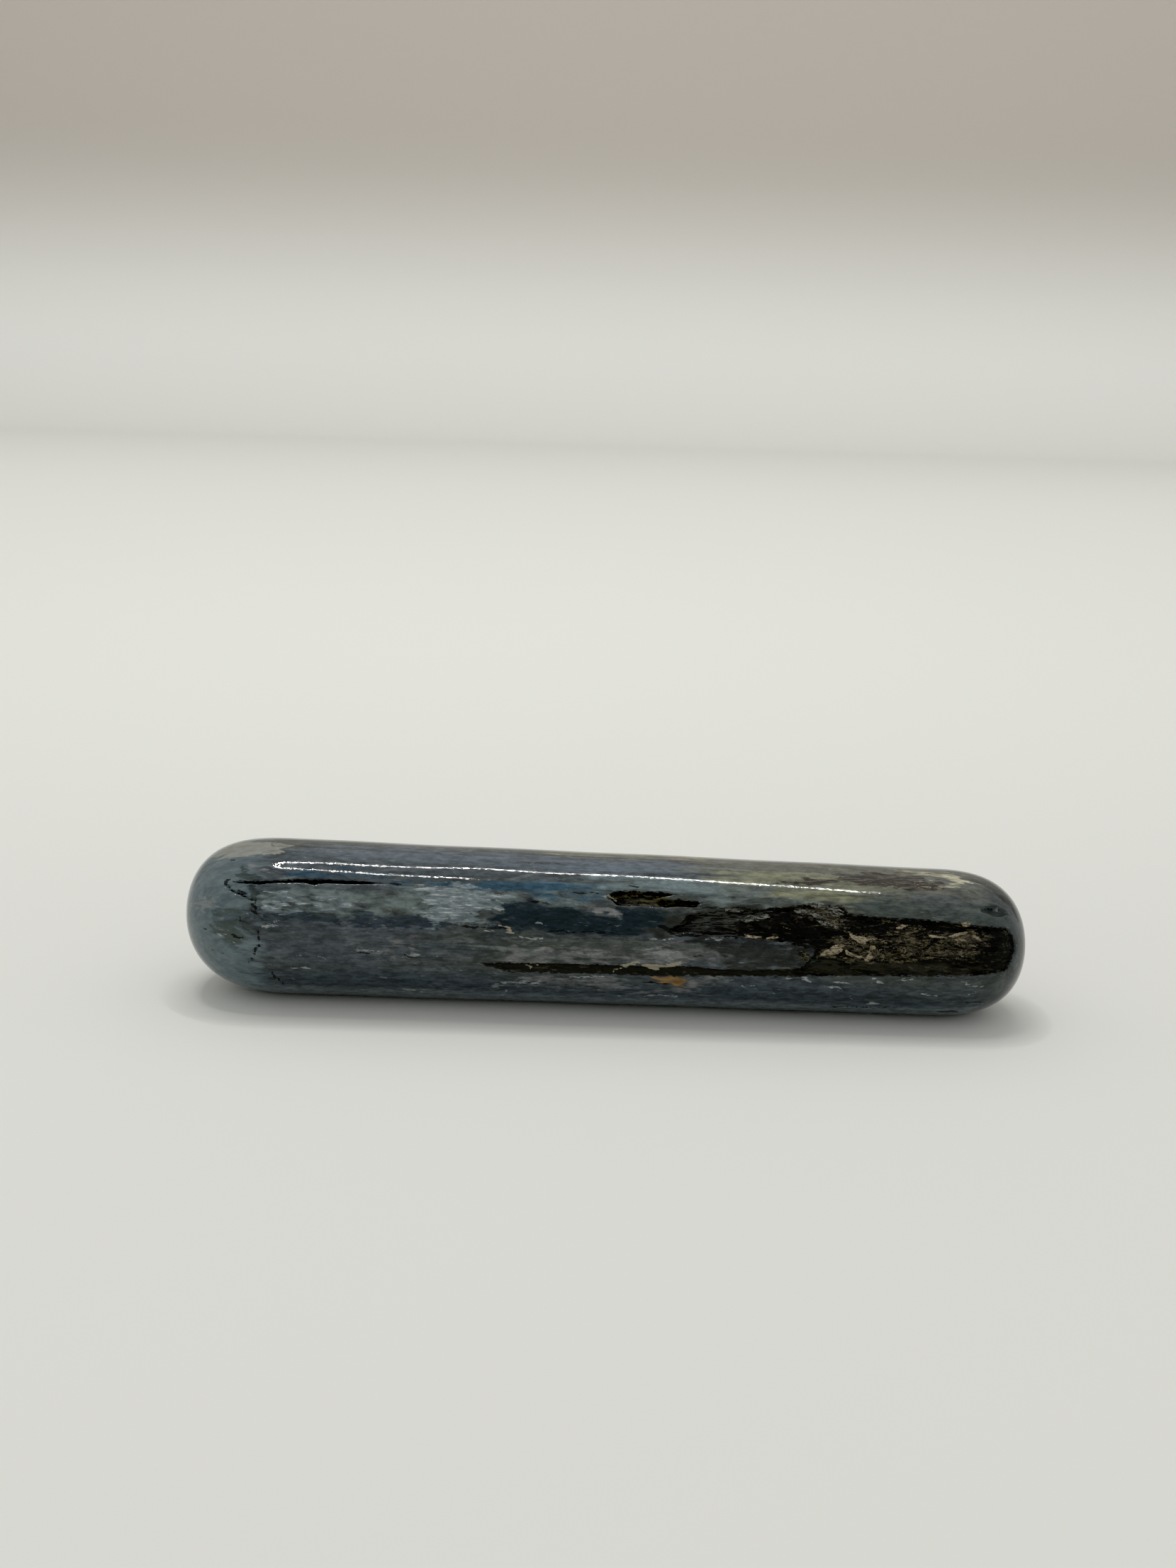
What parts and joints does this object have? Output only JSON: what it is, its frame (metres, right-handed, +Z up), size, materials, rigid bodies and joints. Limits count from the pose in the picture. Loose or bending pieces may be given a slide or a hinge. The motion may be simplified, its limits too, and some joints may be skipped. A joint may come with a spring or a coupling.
{
  "type": "polished kyanite wand",
  "caption": "Polished rod of blue-grey kyanite with black mica beds, gently tapered with rounded ends, lying on its side.",
  "frame": {"origin": "the floor, under the centre of the stone's box, on the ground flat along its underside", "axes": "+X along the rod to its thinner end (the right end in the picture), +Z up, -Y the side that the picture shows"},
  "size_m": [0.102, 0.019, 0.0189],
  "materials": {
    "kyanite": "polished"
  },
  "bodies": {
    "root": {"kyanite_wand": "kyanite"}
  },
  "joints": []
}
